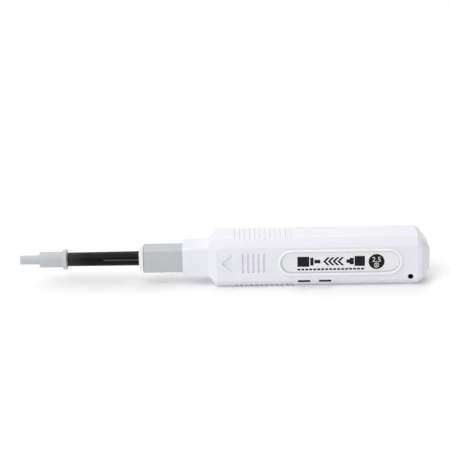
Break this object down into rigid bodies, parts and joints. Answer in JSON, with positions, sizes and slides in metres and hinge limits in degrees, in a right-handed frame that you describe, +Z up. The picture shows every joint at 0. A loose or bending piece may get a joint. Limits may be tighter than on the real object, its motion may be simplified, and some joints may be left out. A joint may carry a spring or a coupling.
{
  "type": "fibre-optic connector cleaning pen",
  "caption": "Push-type cleaning pen: sliding nozzle with pull-off guide cap, turning head and thread reels in an octagonal housing.",
  "frame": {"origin": "under the middle of the pen, on the flat grooved face that the housing rests on", "axes": "+X along the pen from the guide cap to the rear end, +Z up, the label side faces -Y"},
  "size_m": [0.203, 0.0248, 0.0252],
  "materials": {
    "housing_white": "satin moulded ABS, cool white",
    "label_grey": "printed polycarbonate label",
    "grey_plastic": "fine-textured grey ABS",
    "black_plastic": "black acetal, slight sheen",
    "natural_acetal": "natural acetal",
    "frame_grey": "glass-filled nylon",
    "blue_acetal": "coloured acetal",
    "head_white": "white acetal",
    "steel": "ground stainless pin",
    "spring_steel": "drawn spring wire",
    "ring_rubber": "moulded rubber",
    "cleaning_thread": "lint-free microfibre thread"
  },
  "bodies": {
    "housing": {"front_shell": "housing_white", "rear_shell": "housing_white", "latch_clip": "black_plastic", "nose_collar": "housing_white", "label_plate": "label_grey", "rear_label_plate": "label_grey", "feed_rack": "natural_acetal", "cam_pin": "steel", "spring_seat": "natural_acetal", "return_spring": "spring_steel"},
    "carriage": {"nose_bezel": "housing_white", "nose_block": "grey_plastic", "friction_ring": "ring_rubber", "front_side_plate": "frame_grey", "rear_side_plate": "frame_grey", "guide_posts": "steel", "front_bearing": "natural_acetal", "rear_bearing": "natural_acetal", "carriage_tail": "natural_acetal", "supply_axle": "steel", "take_up_axle": "steel", "anti_reverse_pawl": "spring_steel", "supply_thread_run": "cleaning_thread", "return_thread_run": "cleaning_thread", "supply_thread_lead": "cleaning_thread", "return_thread_lead": "cleaning_thread"},
    "extension": {"extension_tube": "black_plastic", "nozzle_sleeve": "natural_acetal", "head_spring": "spring_steel"},
    "head_slider": {"head_carrier": "natural_acetal"},
    "head": {"head_spindle": "head_white", "thread_tip_loop": "cleaning_thread"},
    "rotor": {"cam_rotor": "blue_acetal"},
    "supply": {"supply_reel": "natural_acetal", "supply_thread": "cleaning_thread"},
    "take_up": {"take_up_reel": "natural_acetal", "take_up_thread": "cleaning_thread"},
    "gear": {"drive_gear": "blue_acetal"},
    "cap": {"guide_cap": "grey_plastic"}
  },
  "joints": [
    {"name": "push_stroke", "type": "slide", "parent": "housing", "child": "carriage", "axis": [1, 0, 0], "range_m": [0, 0.01], "stiffness_N_per_m": 500, "springref_m": -0.008, "deforming": ["return_spring", "anti_reverse_pawl", "supply_thread_lead", "return_thread_lead"]},
    {"name": "nozzle_extension", "type": "slide", "parent": "carriage", "child": "extension", "axis": [1, 0, 0], "range_m": [0, 0.017], "deforming": ["supply_thread_lead", "return_thread_lead"]},
    {"name": "head_float", "type": "slide", "parent": "extension", "child": "head_slider", "axis": [1, 0, 0], "range_m": [0, 0.0015], "stiffness_N_per_m": 150, "springref_m": -0.004, "deforming": ["head_spring"]},
    {"name": "head_spin", "type": "hinge", "parent": "head_slider", "child": "head", "pos_m": [0, 0, 0.0126], "axis": [1, 0, 0], "range_deg": [0, 180]},
    {"name": "rotor_spin", "type": "hinge", "parent": "carriage", "child": "rotor", "pos_m": [0.023, 0, 0.0126], "axis": [1, 0, 0], "range_deg": [0, 180]},
    {"name": "gear_spin", "type": "hinge", "parent": "carriage", "child": "gear", "pos_m": [0.066, 0, 0.0126], "axis": [0, 1, 0], "range_deg": [-120, 0]},
    {"name": "take_up_spin", "type": "hinge", "parent": "carriage", "child": "take_up", "pos_m": [0.066, 0, 0.0126], "axis": [0, 1, 0], "range_deg": [-120, 0]},
    {"name": "supply_spin", "type": "hinge", "parent": "carriage", "child": "supply", "pos_m": [0.047, 0, 0.0126], "axis": [0, 1, 0], "range_deg": [-77, 0]},
    {"name": "cap_pull", "type": "slide", "parent": "extension", "child": "cap", "axis": [-1, 0, 0], "range_m": [0, 0.025]}
  ],
  "couplings": [
    {"joint": "head_spin", "follows": "push_stroke", "rad_per_m": 314.16},
    {"joint": "rotor_spin", "follows": "push_stroke", "rad_per_m": 314.16},
    {"joint": "gear_spin", "follows": "push_stroke", "rad_per_m": -208.33},
    {"joint": "take_up_spin", "follows": "push_stroke", "rad_per_m": -208.33},
    {"joint": "supply_spin", "follows": "push_stroke", "rad_per_m": -133.1}
  ]
}
